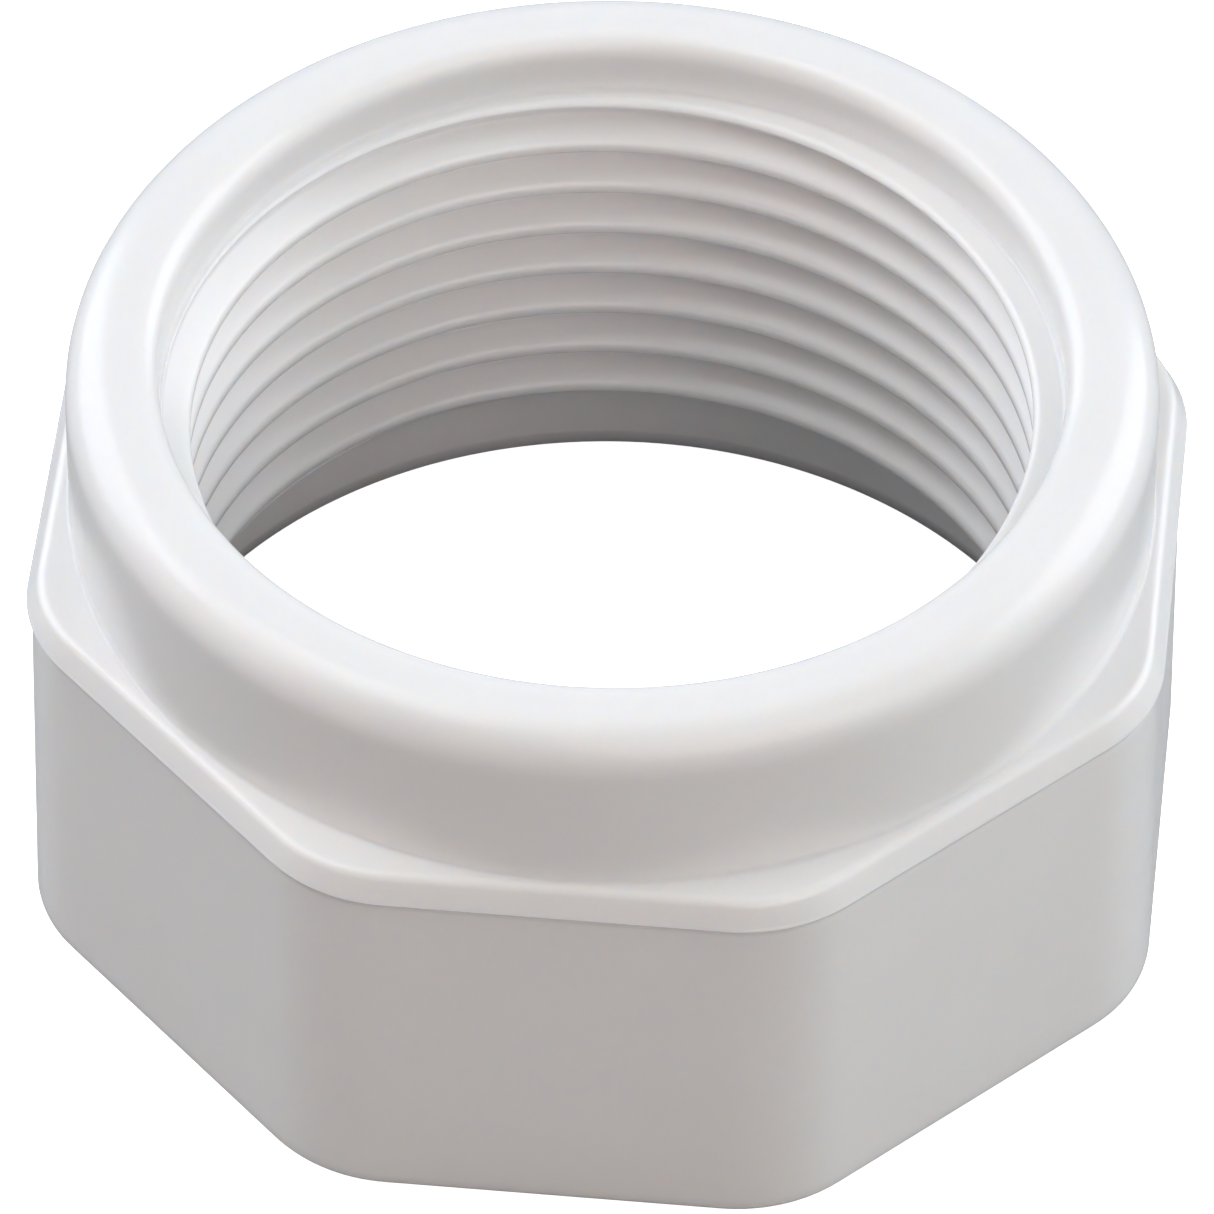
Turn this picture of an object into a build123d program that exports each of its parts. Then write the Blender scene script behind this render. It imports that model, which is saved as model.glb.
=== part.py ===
"""Octagonal threaded nut of a plastic hose union, moulded in one piece.

Frame: millimetres, +Z up along the bore, origin at the centre of the bottom face.
An octagon with eight wrench flats stands on the bottom face, and a round collar
stands on the octagon. Two opposite flats face +X and -X.
"""

import os
from math import asin, atan, cos, degrees, radians, sin, tan

from build123d import *

# ---- Driving dimensions: outside ----
total_height = 23.0
parting_height = 15.0          # top of the wrench flats, where the two mould halves meet
ledge_height = 16.05           # top of the shoulder ring, where the collar begins
collar_diameter = 40.0
across_flats = 41.8            # shoulder ring's foot, and the flats at the bottom face
flat_count = 8
flat_draft_angle = 0.75        # degrees that the flats lean in towards the parting line
corner_radius = 6.0            # vertical rounding between two flats
shoulder_lean_angle = 24.0     # degrees that the shoulder ring's sides lean inwards
shoulder_edge_radius = 0.4
collar_edge_radius = 1.7
collar_foot_radius = 0.15
bottom_edge_radius = 0.3

# ---- Driving dimensions: bore ----
rim_bore_diameter = 33.2       # smooth bore between the rim and the thread
rim_bore_depth = 2.4
rim_edge_radius = 0.8
mouth_bore_diameter = 36.7     # smooth bore between the bottom face and the thread
mouth_bore_depth = 4.0
mouth_flare_height = 0.9
mouth_flare_width = 0.25

# ---- Driving dimensions: thread ----
turns_per_inch = 11.5
millimetres_per_inch = 25.4
depth_share = 0.5              # of the pitch, as are the crest and root shares below
crest_radius_share = 0.172
crest_land_share = 0.136       # width of the conical land left on top of each ridge
root_radius_share = 0.09
thread_minor_diameter = 30.8   # over the crests, level with the rim bore's floor
thread_taper = 0.05            # growth of the minor radius for each millimetre downwards
flank_angle = 30.0             # degrees from square to the axis, so a 60 degree thread
groove_start_angle = -20.0     # degrees about Z where the groove's lower end lies
groove_clearance = 0.3         # how far the groove's cutter reaches inside the crests

# ---- Derived values ----
thread_pitch = millimetres_per_inch / turns_per_inch
thread_depth = depth_share * thread_pitch
crest_radius = crest_radius_share * thread_pitch
crest_land = crest_land_share * thread_pitch
root_radius = root_radius_share * thread_pitch
corner_angle = 180.0 / flat_count
rim_floor_height = total_height - rim_bore_depth
groove_bottom = mouth_bore_depth - 1.2 * thread_pitch
groove_top = rim_floor_height + 0.5 * thread_pitch


def minor_radius(height):
    """Radius over the thread's crests at a height above the bottom face."""
    return thread_minor_diameter / 2 + thread_taper * (rim_floor_height - height)


# ---- Cutter of the helical groove ----
# The section's x runs outwards from the crests and its y runs along the axis.
# It is half the groove, from the middle of the root to the middle of a ridge.
half_pitch = thread_pitch / 2
land_angle = degrees(asin(crest_land / 2 / crest_radius))
flank_end_angle = 90.0 - flank_angle
middle_angle = (land_angle / 2 + flank_end_angle) / 2
crest_centre_x = crest_radius * cos(radians(land_angle))


def crest_point(angle):
    """Point on the rounded crest, at an angle from the middle of the ridge."""
    x = crest_centre_x - crest_radius * cos(radians(angle))
    y = half_pitch - crest_radius * sin(radians(angle))
    return (x, y)


crest_start = crest_point(land_angle / 2)      # just inside the crests, clear of the land
flank_x, flank_y = crest_point(flank_end_angle)
root_y = flank_y - (thread_depth - flank_x) * tan(radians(flank_angle))

with BuildLine() as groove_path:
    Helix(
        pitch=thread_pitch,
        height=groove_top - groove_bottom,
        radius=minor_radius(groove_bottom),
        center=(0, 0, groove_bottom),
        cone_angle=-degrees(atan(thread_taper)),
    )

groove_wire = groove_path.wire()
groove_plane = Plane(groove_wire @ 0, x_dir=(1, 0, 0), z_dir=groove_wire % 0)

with BuildPart() as groove:
    with BuildSketch(groove_plane):
        with BuildLine():
            mouth = Line((-groove_clearance, 0), (-groove_clearance, crest_start[1]))
            cheek = Line(mouth @ 1, crest_start)
            crest = ThreePointArc(cheek @ 1, crest_point(middle_angle), (flank_x, flank_y))
            flank = Line(crest @ 1, (thread_depth, root_y))
            Line(flank @ 1, (thread_depth, 0))
            mirror(about=Plane.XZ)
        make_face()
        fillet(vertices().group_by(Axis.X)[-1], root_radius)
    sweep(path=groove_wire, is_frenet=True)

# ---- The nut ----
with BuildPart() as union_nut:
    # Wrench flats: a rounded octagon that narrows a little on its way up.
    with BuildSketch(Plane.XY):
        RegularPolygon(
            across_flats / 2, flat_count, major_radius=False, rotation=corner_angle
        )
        fillet(vertices(), corner_radius)
    extrude(amount=parting_height, taper=flat_draft_angle)
    fillet(edges().group_by(Axis.Z)[0], bottom_edge_radius)

    # Shoulder ring: starts out past the narrowed flats and slopes in to a rounded edge.
    with BuildSketch(Plane.XY.offset(parting_height)):
        RegularPolygon(
            across_flats / 2, flat_count, major_radius=False, rotation=corner_angle
        )
        fillet(vertices(), corner_radius)
    extrude(amount=ledge_height - parting_height, taper=shoulder_lean_angle)
    fillet(edges().group_by(Axis.Z)[-1], shoulder_edge_radius)

    # Collar: a plain cylinder, rounded at its foot and at its top edge.
    with BuildSketch(Plane.XY.offset(ledge_height)):
        Circle(collar_diameter / 2)
    extrude(amount=total_height - ledge_height)
    fillet(edges().group_by(Axis.Z)[-1], collar_edge_radius)
    ledge_edges = edges().filter_by_position(Axis.Z, ledge_height, ledge_height)
    foot_edge = ledge_edges.filter_by(GeomType.CIRCLE).sort_by(SortBy.RADIUS)[-1]
    fillet(foot_edge, collar_foot_radius)

    # Thread: a tapered bore right through, then the groove along its helix.
    with BuildSketch(Plane.XZ):
        Polygon(
            (0, 0),
            (minor_radius(0), 0),
            (minor_radius(total_height), total_height),
            (0, total_height),
            align=None,
        )
    revolve(axis=Axis.Z, mode=Mode.SUBTRACT)
    add(groove.part, rotation=(0, 0, groove_start_angle), mode=Mode.SUBTRACT)

    # Rim bore: its flat floor cuts off the upper end of the thread.
    with BuildSketch(Plane.XY.offset(rim_floor_height)):
        Circle(rim_bore_diameter / 2)
    extrude(amount=rim_bore_depth, mode=Mode.SUBTRACT)
    rim_edges = edges().filter_by(GeomType.CIRCLE).group_by(Axis.Z)[-1]
    fillet(rim_edges.sort_by(SortBy.RADIUS)[0], rim_edge_radius)

    # Mouth bore: cuts off the lower end of the thread and flares at the bottom face.
    with BuildSketch(Plane.XZ):
        Polygon(
            (0, 0),
            (mouth_bore_diameter / 2 + mouth_flare_width, 0),
            (mouth_bore_diameter / 2, mouth_flare_height),
            (mouth_bore_diameter / 2, mouth_bore_depth),
            (0, mouth_bore_depth),
            align=None,
        )
    revolve(axis=Axis.Z, mode=Mode.SUBTRACT)

os.makedirs("parts", exist_ok=True)
union_nut.part.label = "union_nut"
export_step(union_nut.part, "parts/union_nut.step")
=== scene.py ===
"""Looks of the union nut: a white moulded plastic ring with wrench flats, a collar
and an internal pipe thread, on a pale floor in soft studio light.

The ring is one closed mesh. Its rows run round the axis and follow the profile from
the bottom face, up the outside, over the rim and down the bore, and the rows of the
thread climb with the thread itself.
"""

from math import atan2, cos, pi, radians, sin, tan

import bmesh
import bpy
import numpy as np
from mathutils import Matrix, Vector


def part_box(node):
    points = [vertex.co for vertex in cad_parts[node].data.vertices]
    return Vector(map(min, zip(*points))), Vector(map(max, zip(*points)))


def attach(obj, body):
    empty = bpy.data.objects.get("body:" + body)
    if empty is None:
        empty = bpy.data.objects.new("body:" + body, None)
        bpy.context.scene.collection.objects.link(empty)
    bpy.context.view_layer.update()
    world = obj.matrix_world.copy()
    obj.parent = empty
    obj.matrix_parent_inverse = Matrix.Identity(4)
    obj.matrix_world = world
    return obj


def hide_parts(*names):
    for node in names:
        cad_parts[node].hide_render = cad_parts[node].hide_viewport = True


MM = 0.001

# ---- Outside of the nut, in millimetres ----
FLAT_COUNT = 8
PARTING_HEIGHT = 15.0
LEDGE_HEIGHT = 16.05
COLLAR_RADIUS = 20.0
DRAFT = tan(radians(0.75))
CORNER_RADIUS = 6.0
SHOULDER_INSET = 0.03           # from the flash line's edge to the shoulder's side
SHOULDER_LEAN = radians(24)
SHOULDER_EDGE = 0.4
FLASH_HEIGHT = 0.07
FLASH_LAND = 0.02               # height of the flash line's own edge
COLLAR_EDGE = 1.7
COLLAR_FOOT = 0.12
BOTTOM_EDGE = 0.3

# ---- Bore of the nut, in millimetres ----
RIM_BORE_RADIUS = 16.6
RIM_BORE_DEPTH = 2.4
RIM_EDGE = 0.8
FLOOR_CORNER = 0.15
FLOOR_EDGE = 0.3
MOUTH_BORE_RADIUS = 18.35
MOUTH_BORE_DEPTH = 4.0
MOUTH_FLARE_HEIGHT = 0.9
MOUTH_FLARE_WIDTH = 0.25
SMALL_EDGE = 0.15

# ---- Thread, in millimetres ----
PITCH = 25.4 / 11.5
THREAD_DEPTH = 0.5 * PITCH
CREST_RADIUS = 0.172 * PITCH
CREST_LAND = 0.136 * PITCH
ROOT_RADIUS = 0.09 * PITCH
FLANK_ANGLE = radians(30)
CREST_MINOR_RADIUS = 15.4
THREAD_TAPER = 0.05
GROOVE_START = radians(-20)
GROOVE_START_HEIGHT = MOUTH_BORE_DEPTH - 1.2 * PITCH

# ---- Mesh density ----
FLAT_STEPS = 30
CORNER_STEPS = 15
SNAP = 0.03                     # rows closer than this to the thread's ends join them
ROW_GAP = 0.04                  # between the rows that keep an edge crisp
FLAT_ROWS = (0.6, 2.5, 5.0, 7.5, 10.0, 12.5, 14.2, 14.55)
COLLAR_ROWS = (16.65, 18.0, 19.5)
MOUTH_ROWS = (3.5, 2.3)
# Share of the shoulder's overhang, and how far below the parting line the row lies.
OVERHANG_ROWS = ((1.0, 0.42), (0.92, 0.3), (0.5, 0.14), (0.12, 0.04), (0.0, 0.0))
THREAD_TOP_PASSES = 80

# ---- Camera: distances are in collar radii ----
CAMERA_TURN = radians(5.29)
CAMERA_ELEVATION = radians(45.43)
CAMERA_ROLL = radians(0.536)
CAMERA_DISTANCE = 21.5
CAMERA_ASIDE = -0.0062
CAMERA_BELOW = -0.4646
CAMERA_LENS = 349.8

# ---- Stage and lamps, in metres, degrees and watts ----
STAGE_RADIUS = 4.0
TABLE_SHADE = 0.33
TABLE_GAP = 0.0001
LAMP_DISTANCE = 0.7
# Name, azimuth, elevation, size, power and colour; azimuth 0 is at the front, -Y.
SOFTBOXES = (
    ("left_box", -75, 24, 0.5, 0.9, (1.0, 0.94, 0.86)),
    ("left_rear_box", -122, 26, 0.6, 3.25, (0.84, 0.9, 1.0)),
    ("right_box", 75, 24, 0.5, 0.9, (0.75, 1.0, 0.95)),
    ("right_rear_box", 122, 26, 0.6, 3.55, (0.89, 0.91, 1.0)),
    ("left_high_box", -90, 60, 0.5, 1.55, (0.98, 0.97, 1.0)),
    ("front_box", 30, 34, 0.6, 2.1, (1.0, 0.84, 0.81)),
    ("top_box", 0, 86, 0.6, 0.65, (0.8, 1.0, 1.0)),
)


def make_camera(rim_centre, radius):
    """Long lens above the front of the nut."""
    view = Vector((0, cos(CAMERA_ELEVATION), -sin(CAMERA_ELEVATION)))
    up = Vector((0, sin(CAMERA_ELEVATION), cos(CAMERA_ELEVATION)))
    right = Vector((1, 0, 0))
    offset = right * CAMERA_ASIDE + up * CAMERA_BELOW - view * CAMERA_DISTANCE
    axes = Matrix((right, up, -view)).transposed().to_4x4()
    turn = Matrix.Rotation(CAMERA_TURN, 4, "Z")
    data = bpy.data.cameras.new("camera")
    data.lens = CAMERA_LENS
    data.clip_start = 0.01
    data.clip_end = 20
    camera = bpy.data.objects.new("camera", data)
    bpy.context.scene.collection.objects.link(camera)
    place = Matrix.Translation(rim_centre + turn @ (offset * radius))
    camera.matrix_world = place @ turn @ axes @ Matrix.Rotation(CAMERA_ROLL, 4, "Z")
    bpy.context.scene.camera = camera


class Outline:
    """The rounded octagon, as one point and one outward normal for each column."""

    def __init__(self, apothem):
        half_side = (apothem - CORNER_RADIUS) * tan(pi / FLAT_COUNT)
        flat_end = atan2(half_side, apothem)
        points = []
        normals = []
        for flat in range(FLAT_COUNT):
            facing = 2 * pi * flat / FLAT_COUNT
            for step in range(FLAT_STEPS):
                angle = flat_end * (2 * step / FLAT_STEPS - 1)
                along = apothem * tan(angle)
                points.append(turned(apothem, along, facing))
                normals.append(turned(1, 0, facing))
            for step in range(CORNER_STEPS):
                bend = 2 * pi / FLAT_COUNT * step / CORNER_STEPS
                x = apothem - CORNER_RADIUS + CORNER_RADIUS * cos(bend)
                y = half_side + CORNER_RADIUS * sin(bend)
                points.append(turned(x, y, facing))
                normals.append(turned(cos(bend), sin(bend), facing))
        self.points = np.array(points)
        self.normals = np.array(normals)
        angles = np.arctan2(self.points[:, 1], self.points[:, 0])
        self.angles = np.unwrap(angles)

    def ring(self, inset, height):
        """Ring of points on the outline moved inwards by inset."""
        flat = self.points - self.normals * inset
        return np.column_stack([flat, np.full(len(flat), height)])


def turned(x, y, angle):
    """The point (x, y) turned about the origin."""
    return (x * cos(angle) - y * sin(angle), x * sin(angle) + y * cos(angle))


def circle(angles, radius, height):
    """Ring of points at a radius and a height, which may differ by column."""
    radius = np.broadcast_to(radius, angles.shape)
    height = np.broadcast_to(height, angles.shape)
    return np.column_stack([radius * np.cos(angles), radius * np.sin(angles), height])


def arc_steps(count, start=0.0, end=pi / 2):
    """Angles along an arc, both ends included."""
    return [start + (end - start) * step / count for step in range(count + 1)]


def groove_depth(offset):
    """Depth below the crests at an axial distance from the middle of a ridge."""
    away = np.abs(offset)
    slope = 1 / tan(FLANK_ANGLE)
    land_top = (CREST_RADIUS**2 - (CREST_LAND / 2) ** 2) ** 0.5
    arc_end = CREST_RADIUS * cos(FLANK_ANGLE)
    on_arc = np.clip(away, CREST_LAND / 2, arc_end)
    depth = land_top - np.sqrt(CREST_RADIUS**2 - on_arc**2)
    depth = depth + np.clip(away - arc_end, 0, None) * slope
    root_corner, root_tangent = root_corner_at()
    centre = root_corner + root_tangent
    in_root = np.clip(centre - away, 0, ROOT_RADIUS)
    rounded = THREAD_DEPTH - ROOT_RADIUS + np.sqrt(ROOT_RADIUS**2 - in_root**2)
    past_tangent = away > root_corner - root_tangent * cos(pi / 2 - FLANK_ANGLE)
    depth = np.where(past_tangent, rounded, depth)
    return np.where(away >= centre, THREAD_DEPTH, depth)


def root_corner_at():
    """Axial distance from ridge to root corner, and the root rounding's tangent length."""
    land_top = (CREST_RADIUS**2 - (CREST_LAND / 2) ** 2) ** 0.5
    arc_end = CREST_RADIUS * cos(FLANK_ANGLE)
    arc_depth = land_top - CREST_RADIUS * sin(FLANK_ANGLE)
    corner = arc_end + (THREAD_DEPTH - arc_depth) * tan(FLANK_ANGLE)
    tangent = ROOT_RADIUS * tan((pi / 2 - FLANK_ANGLE) / 2)
    return corner, tangent


def section_rows():
    """Axial positions of the mesh rows across one pitch, from the middle of a ridge."""
    corner, tangent = root_corner_at()
    arc_end = CREST_RADIUS * cos(FLANK_ANGLE)
    flank_end = corner - tangent * cos(pi / 2 - FLANK_ANGLE)
    half = [0.0]
    half += list(np.linspace(CREST_LAND / 2, arc_end, 4))
    half += list(np.linspace(arc_end, flank_end, 3))[1:]
    half += list(np.linspace(flank_end, corner + tangent, 4))[1:]
    return [-value for value in reversed(half[1:])] + half + [PITCH / 2]


def thread_radius(angles, heights):
    """Radius of the threaded wall."""
    crests = CREST_MINOR_RADIUS + THREAD_TAPER * (RIM_FLOOR - heights)
    lead = PITCH * (angles - GROOVE_START) / (2 * pi)
    from_groove = heights - GROOVE_START_HEIGHT - lead
    offset = np.mod(from_groove, PITCH) - PITCH / 2
    return crests + groove_depth(offset)


class RingMesh:
    """Vertices and faces of a surface made of closed rings with the same columns."""

    def __init__(self, columns):
        self.columns = columns
        self.vertices = []
        self.faces = []
        self.last = None
        self.first = None

    def add_points(self, points):
        start = len(self.vertices)
        self.vertices.extend(tuple(point) for point in points)
        return list(range(start, start + len(points)))

    def add_ring(self, points):
        """Adds a ring and joins it to the one before."""
        ids = self.add_points(points)
        self.join(ids)
        return ids

    def join(self, ids):
        if self.last is not None:
            for column in range(self.columns):
                after = (column + 1) % self.columns
                corners = (self.last[column], self.last[after], ids[after], ids[column])
                self.faces.append(corners)
        else:
            self.first = ids
        self.last = ids

    def add_face(self, corners):
        """Adds a face, leaving out repeated corners."""
        kept = [c for k, c in enumerate(corners) if c != corners[k - 1]]
        if len(kept) > 2:
            self.faces.append(tuple(kept))

    def build(self, name, origin):
        """Closes the surface and returns it as an object, in metres."""
        self.join(self.first)
        mesh = bpy.data.meshes.new(name)
        points = np.array(self.vertices) * MM + np.array(origin)
        mesh.from_pydata([tuple(point) for point in points], [], self.faces)
        shape = bmesh.new()
        shape.from_mesh(mesh)
        bmesh.ops.recalc_face_normals(shape, faces=shape.faces)
        for face in shape.faces:
            face.smooth = True
        shape.to_mesh(mesh)
        shape.free()
        piece = bpy.data.objects.new(name, mesh)
        bpy.context.scene.collection.objects.link(piece)
        return piece


def add_outside(ring_mesh, outline, height):
    """Bottom edge, wrench flats, parting line, shoulder and collar."""
    angles = outline.angles
    for bend in arc_steps(4):
        inset = BOTTOM_EDGE * (1 - sin(bend))
        rise = BOTTOM_EDGE * (1 - cos(bend))
        ring_mesh.add_ring(outline.ring(inset + DRAFT * rise, rise))
    for rise in FLAT_ROWS:
        ring_mesh.add_ring(outline.ring(DRAFT * rise, rise))
    overhang = DRAFT * PARTING_HEIGHT
    for share, drop in OVERHANG_ROWS:
        ring_mesh.add_ring(outline.ring(overhang * share, PARTING_HEIGHT - drop))
    ring_mesh.add_ring(outline.ring(0.0, PARTING_HEIGHT + FLASH_LAND))
    lean = tan(SHOULDER_LEAN)
    edge_centre = LEDGE_HEIGHT - SHOULDER_EDGE
    arc_rise = edge_centre + SHOULDER_EDGE * sin(SHOULDER_LEAN)
    arc_inset = SHOULDER_INSET + lean * (arc_rise - PARTING_HEIGHT)
    edge_inset = arc_inset + SHOULDER_EDGE * cos(SHOULDER_LEAN)
    side_end = arc_rise - PARTING_HEIGHT - ROW_GAP
    for rise in (FLASH_HEIGHT, FLASH_HEIGHT + ROW_GAP, side_end):
        ring_mesh.add_ring(outline.ring(SHOULDER_INSET + lean * rise, PARTING_HEIGHT + rise))
    for bend in arc_steps(6, SHOULDER_LEAN):
        inset = edge_inset - SHOULDER_EDGE * cos(bend)
        rise = edge_centre + SHOULDER_EDGE * sin(bend)
        ring_mesh.add_ring(outline.ring(inset, rise))
    edge = outline.ring(edge_inset, LEDGE_HEIGHT)
    foot = circle(angles, COLLAR_RADIUS + COLLAR_FOOT, LEDGE_HEIGHT)
    for share in (0.1, 0.5, 0.9):
        ring_mesh.add_ring(edge + (foot - edge) * share)
    for bend in arc_steps(3):
        radius = COLLAR_RADIUS + COLLAR_FOOT * (1 - sin(bend))
        rise = LEDGE_HEIGHT + COLLAR_FOOT * (1 - cos(bend))
        ring_mesh.add_ring(circle(angles, radius, rise))
    edge_start = height - COLLAR_EDGE
    for rise in COLLAR_ROWS + (edge_start - 0.3,):
        ring_mesh.add_ring(circle(angles, COLLAR_RADIUS, rise))
    for bend in arc_steps(10):
        radius = COLLAR_RADIUS - COLLAR_EDGE * (1 - cos(bend))
        ring_mesh.add_ring(circle(angles, radius, edge_start + COLLAR_EDGE * sin(bend)))


def add_rim(ring_mesh, angles, height):
    """Flat rim, its inner rounding and the smooth bore below it."""
    outer = COLLAR_RADIUS - COLLAR_EDGE
    inner = RIM_BORE_RADIUS + RIM_EDGE
    for share in (0.2, 0.8):
        ring_mesh.add_ring(circle(angles, outer + (inner - outer) * share, height))
    for bend in arc_steps(6):
        radius = RIM_BORE_RADIUS + RIM_EDGE * (1 - sin(bend))
        rise = height - RIM_EDGE * (1 - cos(bend))
        ring_mesh.add_ring(circle(angles, radius, rise))
    ring_mesh.add_ring(circle(angles, RIM_BORE_RADIUS, height - RIM_EDGE - 0.2))
    ring_mesh.add_ring(circle(angles, RIM_BORE_RADIUS, RIM_FLOOR + 0.35))


def floor_roundings(radius):
    """Sizes of the floor's outer corner and inner edge, smaller where it is narrow."""
    width = RIM_BORE_RADIUS - radius
    return np.minimum(FLOOR_CORNER, 0.35 * width), np.minimum(FLOOR_EDGE, 0.4 * width)


def thread_top(angles):
    """Radius and height where the thread ends under the rounded edge of the floor."""
    radius = np.full(angles.shape, CREST_MINOR_RADIUS)
    for _ in range(THREAD_TOP_PASSES):
        height = RIM_FLOOR - floor_roundings(radius)[1]
        radius = 0.5 * (radius + thread_radius(angles, height))
    return radius, height


def add_thread(ring_mesh, angles):
    """Floor of the rim bore and the thread below it, down to the mouth bore."""
    top_radius, top_height = thread_top(angles)
    corner, edge = floor_roundings(top_radius)
    for bend in arc_steps(3):
        radius = RIM_BORE_RADIUS - corner * (1 - cos(bend))
        ring_mesh.add_ring(circle(angles, radius, RIM_FLOOR + corner * (1 - sin(bend))))
    outer = RIM_BORE_RADIUS - corner
    inner = top_radius + edge
    for share in (0.15, 0.5, 0.85):
        ring_mesh.add_ring(circle(angles, outer + (inner - outer) * share, RIM_FLOOR))
    for bend in arc_steps(5)[:-1]:
        radius = top_radius + edge * (1 - sin(bend))
        rise = RIM_FLOOR - edge * (1 - cos(bend))
        ring_mesh.add_ring(circle(angles, radius, rise))
    top = ring_mesh.add_ring(circle(angles, top_radius, top_height))

    low_height = MOUTH_BORE_DEPTH + SMALL_EDGE
    low_radius = thread_radius(angles, np.full(angles.shape, low_height))
    bottom = ring_mesh.add_points(circle(angles, low_radius, low_height))
    rows = section_rows()
    ridge = GROOVE_START_HEIGHT + PITCH / 2 + PITCH * (angles - GROOVE_START) / (2 * pi)
    first_turn = int(np.floor((low_height - ridge.min()) / PITCH)) - 2
    last_turn = int(np.ceil((RIM_FLOOR - ridge.min()) / PITCH)) + 1
    grid = []
    for turn in range(first_turn, last_turn + 1):
        for row in rows:
            heights = ridge + turn * PITCH + row
            below = heights <= low_height + SNAP
            above = heights >= top_height - SNAP
            inside = ~(below | above)
            ids = np.where(below, bottom, top)
            points = circle(angles, thread_radius(angles, heights), heights)
            ids[inside] = ring_mesh.add_points(points[inside])
            grid.append(ids)
    one_turn = len(rows)
    count = len(grid)
    for column in range(len(angles)):
        after = (column + 1) % len(angles)
        lift = one_turn if after == 0 else 0
        for row in range(count - 1):
            here = grid[row][column]
            here_up = grid[row + 1][column]
            there = grid[min(row + lift, count - 1)][after]
            there_up = grid[min(row + 1 + lift, count - 1)][after]
            ring_mesh.add_face((here, there, there_up, here_up))
    ring_mesh.last = bottom
    return low_radius


def add_mouth(ring_mesh, angles, low_radius):
    """Step under the thread, mouth bore, flare and bottom face."""
    for bend in arc_steps(3)[1:]:
        radius = low_radius + SMALL_EDGE * (1 - cos(bend))
        rise = MOUTH_BORE_DEPTH + SMALL_EDGE * (1 - sin(bend))
        ring_mesh.add_ring(circle(angles, radius, rise))
    inner = low_radius + SMALL_EDGE
    outer = MOUTH_BORE_RADIUS - SMALL_EDGE
    for share in (0.15, 0.85):
        radius = inner + (outer - inner) * share
        ring_mesh.add_ring(circle(angles, radius, MOUTH_BORE_DEPTH))
    for bend in arc_steps(3):
        radius = outer + SMALL_EDGE * sin(bend)
        rise = MOUTH_BORE_DEPTH - SMALL_EDGE * (1 - cos(bend))
        ring_mesh.add_ring(circle(angles, radius, rise))
    lip = 0.1
    for rise in MOUTH_ROWS + (MOUTH_FLARE_HEIGHT + lip, MOUTH_FLARE_HEIGHT):
        ring_mesh.add_ring(circle(angles, MOUTH_BORE_RADIUS, rise))
    for rise in (MOUTH_FLARE_HEIGHT - lip, lip):
        grown = MOUTH_FLARE_WIDTH * (1 - rise / MOUTH_FLARE_HEIGHT)
        ring_mesh.add_ring(circle(angles, MOUTH_BORE_RADIUS + grown, rise))
    flared = MOUTH_BORE_RADIUS + MOUTH_FLARE_WIDTH
    ring_mesh.add_ring(circle(angles, flared + 0.05, 0.02))
    ring_mesh.add_ring(circle(angles, flared + lip + 0.05, 0))
    ring_mesh.add_ring(circle(angles, flared + 0.5, 0))


def make_nut(low, high):
    """The whole nut as one closed mesh in the place of its CAD solid."""
    outline = Outline((high.x - low.x) / 2 / MM)
    height = (high.z - low.z) / MM
    ring_mesh = RingMesh(len(outline.angles))
    add_outside(ring_mesh, outline, height)
    add_rim(ring_mesh, outline.angles, height)
    low_radius = add_thread(ring_mesh, outline.angles)
    add_mouth(ring_mesh, outline.angles, low_radius)
    origin = ((low.x + high.x) / 2, (low.y + high.y) / 2, low.z)
    return ring_mesh.build("union_nut_moulding", origin)


def white_plastic():
    """Satin white moulded plastic: faint mottling, fine grain and slow waviness."""
    material = bpy.data.materials.new("white_plastic")
    material.use_nodes = True
    nodes = material.node_tree.nodes
    links = material.node_tree.links
    shader = nodes["Principled BSDF"]
    shader.inputs["IOR"].default_value = 1.5
    shader.inputs["Subsurface Weight"].default_value = 1.0
    shader.inputs["Subsurface Radius"].default_value = (1.0, 0.85, 0.7)
    shader.inputs["Subsurface Scale"].default_value = 0.0005
    place = nodes.new("ShaderNodeTexCoord").outputs["Object"]

    def noise(scale, detail):
        node = nodes.new("ShaderNodeTexNoise")
        node.inputs["Scale"].default_value = scale
        node.inputs["Detail"].default_value = detail
        links.new(place, node.inputs["Vector"])
        return node.outputs["Fac"]

    mottle = nodes.new("ShaderNodeMix")
    mottle.data_type = "RGBA"
    mottle.inputs["A"].default_value = (0.845, 0.838, 0.832, 1)
    mottle.inputs["B"].default_value = (0.875, 0.872, 0.868, 1)
    links.new(noise(220, 3), mottle.inputs["Factor"])
    links.new(mottle.outputs["Result"], shader.inputs["Base Color"])

    gloss = nodes.new("ShaderNodeMapRange")
    gloss.inputs["To Min"].default_value = 0.21
    gloss.inputs["To Max"].default_value = 0.29
    links.new(noise(900, 4), gloss.inputs["Value"])
    links.new(gloss.outputs["Result"], shader.inputs["Roughness"])

    waves = nodes.new("ShaderNodeBump")
    waves.inputs["Strength"].default_value = 1.0
    waves.inputs["Distance"].default_value = 0.00002
    links.new(noise(160, 1), waves.inputs["Height"])
    grain = nodes.new("ShaderNodeBump")
    grain.inputs["Strength"].default_value = 1.0
    grain.inputs["Distance"].default_value = 0.0000025
    links.new(noise(6500, 2), grain.inputs["Height"])
    links.new(waves.outputs["Normal"], grain.inputs["Normal"])
    links.new(grain.outputs["Normal"], shader.inputs["Normal"])
    return material


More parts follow.
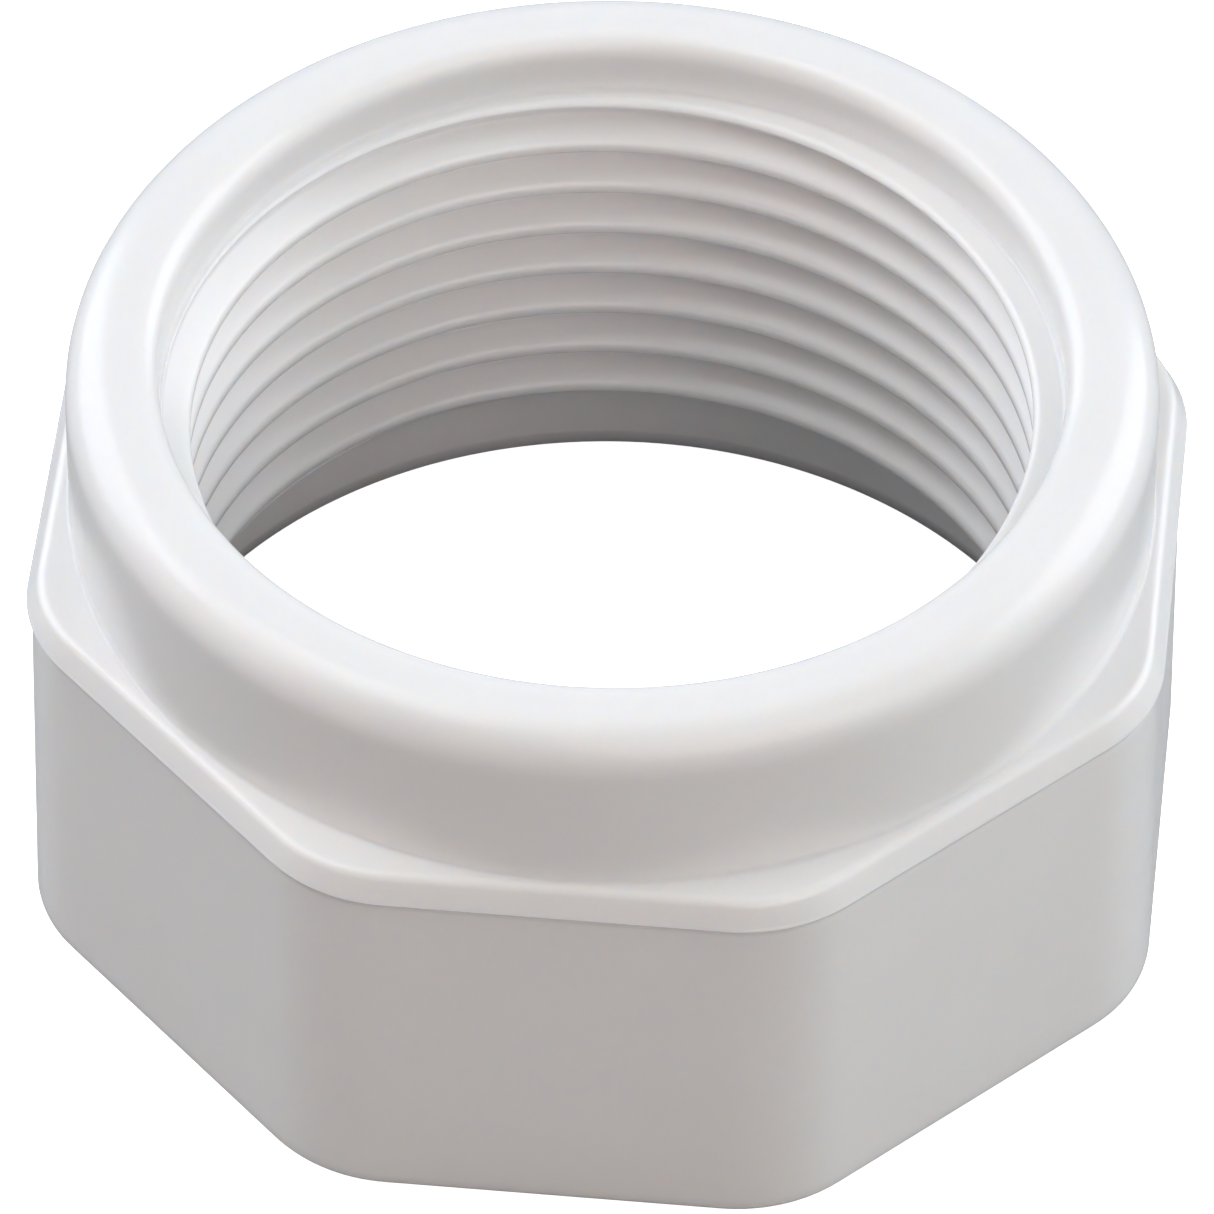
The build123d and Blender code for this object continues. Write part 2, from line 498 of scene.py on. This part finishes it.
def floor_paper():
    """Matt white studio paper."""
    material = bpy.data.materials.new("floor_paper")
    material.use_nodes = True
    nodes = material.node_tree.nodes
    links = material.node_tree.links
    shader = nodes["Principled BSDF"]
    shader.inputs["Roughness"].default_value = 0.9
    shader.inputs["Specular IOR Level"].default_value = 0.1
    shader.inputs["Emission Color"].default_value = (1, 1, 1, 1)
    shader.inputs["Emission Strength"].default_value = 0.9
    noise = nodes.new("ShaderNodeTexNoise")
    noise.inputs["Scale"].default_value = 30
    tint = nodes.new("ShaderNodeMix")
    tint.data_type = "RGBA"
    tint.inputs["A"].default_value = (0.93, 0.93, 0.93, 1)
    tint.inputs["B"].default_value = (0.95, 0.95, 0.95, 1)
    links.new(noise.outputs["Fac"], tint.inputs["Factor"])
    links.new(tint.outputs["Result"], shader.inputs["Base Color"])
    return material


def table_top():
    """Grey table under the paper."""
    material = bpy.data.materials.new("table_top")
    material.use_nodes = True
    shader = material.node_tree.nodes["Principled BSDF"]
    shader.inputs["Base Color"].default_value = (TABLE_SHADE, TABLE_SHADE, TABLE_SHADE, 1)
    shader.inputs["Roughness"].default_value = 0.9
    shader.inputs["Specular IOR Level"].default_value = 0.1
    return material


def add_stage_piece(name, shape, material, level):
    """One part of the stage: the camera sees all but the table, and light only that."""
    mesh = bpy.data.meshes.new(name)
    shape.to_mesh(mesh)
    shape.free()
    mesh.materials.append(material)
    piece = bpy.data.objects.new(name, mesh)
    piece.location.z = level
    is_table = name == "table"
    piece.visible_camera = not is_table
    piece.visible_diffuse = is_table
    piece.visible_glossy = is_table
    piece.visible_transmission = is_table
    piece.visible_shadow = is_table
    bpy.context.scene.collection.objects.link(piece)


def make_stage(level):
    """A sheet of white paper on a grey table under the nut, and a pale dome behind it."""
    sheet = bmesh.new()
    bmesh.ops.create_grid(sheet, x_segments=1, y_segments=1, size=STAGE_RADIUS)
    add_stage_piece("floor", sheet, floor_paper(), level)
    table = bmesh.new()
    bmesh.ops.create_grid(table, x_segments=1, y_segments=1, size=STAGE_RADIUS)
    add_stage_piece("table", table, table_top(), level - TABLE_GAP)
    dome = bmesh.new()
    bmesh.ops.create_uvsphere(dome, u_segments=48, v_segments=24, radius=STAGE_RADIUS)
    add_stage_piece("dome", dome, dome_cloth(), level)


def dome_cloth():
    """Evenly lit white cloth."""
    material = bpy.data.materials.new("dome_cloth")
    material.use_nodes = True
    shader = material.node_tree.nodes["Principled BSDF"]
    shader.inputs["Base Color"].default_value = (0, 0, 0, 1)
    shader.inputs["Specular IOR Level"].default_value = 0
    shader.inputs["Emission Color"].default_value = (1, 1, 1, 1)
    shader.inputs["Emission Strength"].default_value = 0.95
    return material


def softbox(name, centre, azimuth, elevation, size, power, colour):
    """Square area lamp aimed at the nut."""
    a = radians(azimuth)
    e = radians(elevation)
    away = Vector((sin(a) * cos(e), -cos(a) * cos(e), sin(e)))
    data = bpy.data.lights.new(name, "AREA")
    data.shape = "SQUARE"
    data.size = size
    data.energy = power
    data.color = colour
    lamp = bpy.data.objects.new(name, data)
    lamp.location = centre + away * LAMP_DISTANCE
    lamp.rotation_mode = "QUATERNION"
    lamp.rotation_quaternion = away.to_track_quat("Z", "Y")
    lamp.visible_camera = False
    bpy.context.scene.collection.objects.link(lamp)


def light_studio(centre):
    """Softboxes all round the nut, strongest behind it, in an otherwise dark room."""
    for name, azimuth, elevation, size, power, colour in SOFTBOXES:
        softbox(name, centre, azimuth, elevation, size, power, colour)
    world = bpy.data.worlds.new("dark_room")
    world.use_nodes = True
    world.node_tree.nodes["Background"].inputs["Color"].default_value = (0, 0, 0, 1)
    bpy.context.scene.world = world
    bpy.context.scene.view_settings.view_transform = "Standard"


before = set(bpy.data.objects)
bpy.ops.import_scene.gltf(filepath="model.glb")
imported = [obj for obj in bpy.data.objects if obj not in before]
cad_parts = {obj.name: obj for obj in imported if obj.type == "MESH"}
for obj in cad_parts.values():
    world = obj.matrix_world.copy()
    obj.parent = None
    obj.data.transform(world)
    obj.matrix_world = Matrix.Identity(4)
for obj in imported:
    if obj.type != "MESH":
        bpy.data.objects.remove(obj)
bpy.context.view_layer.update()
nut_low, nut_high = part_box("union_nut")
axis_x = (nut_low.x + nut_high.x) / 2
axis_y = (nut_low.y + nut_high.y) / 2
RIM_FLOOR = (nut_high.z - nut_low.z) / MM - RIM_BORE_DEPTH

make_camera(Vector((axis_x, axis_y, nut_high.z)), COLLAR_RADIUS * MM)
nut = make_nut(nut_low, nut_high)
nut.data.materials.append(white_plastic())
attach(nut, "root")
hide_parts("union_nut")
make_stage(nut_low.z)
light_studio(Vector((axis_x, axis_y, (nut_low.z + nut_high.z) / 2)))
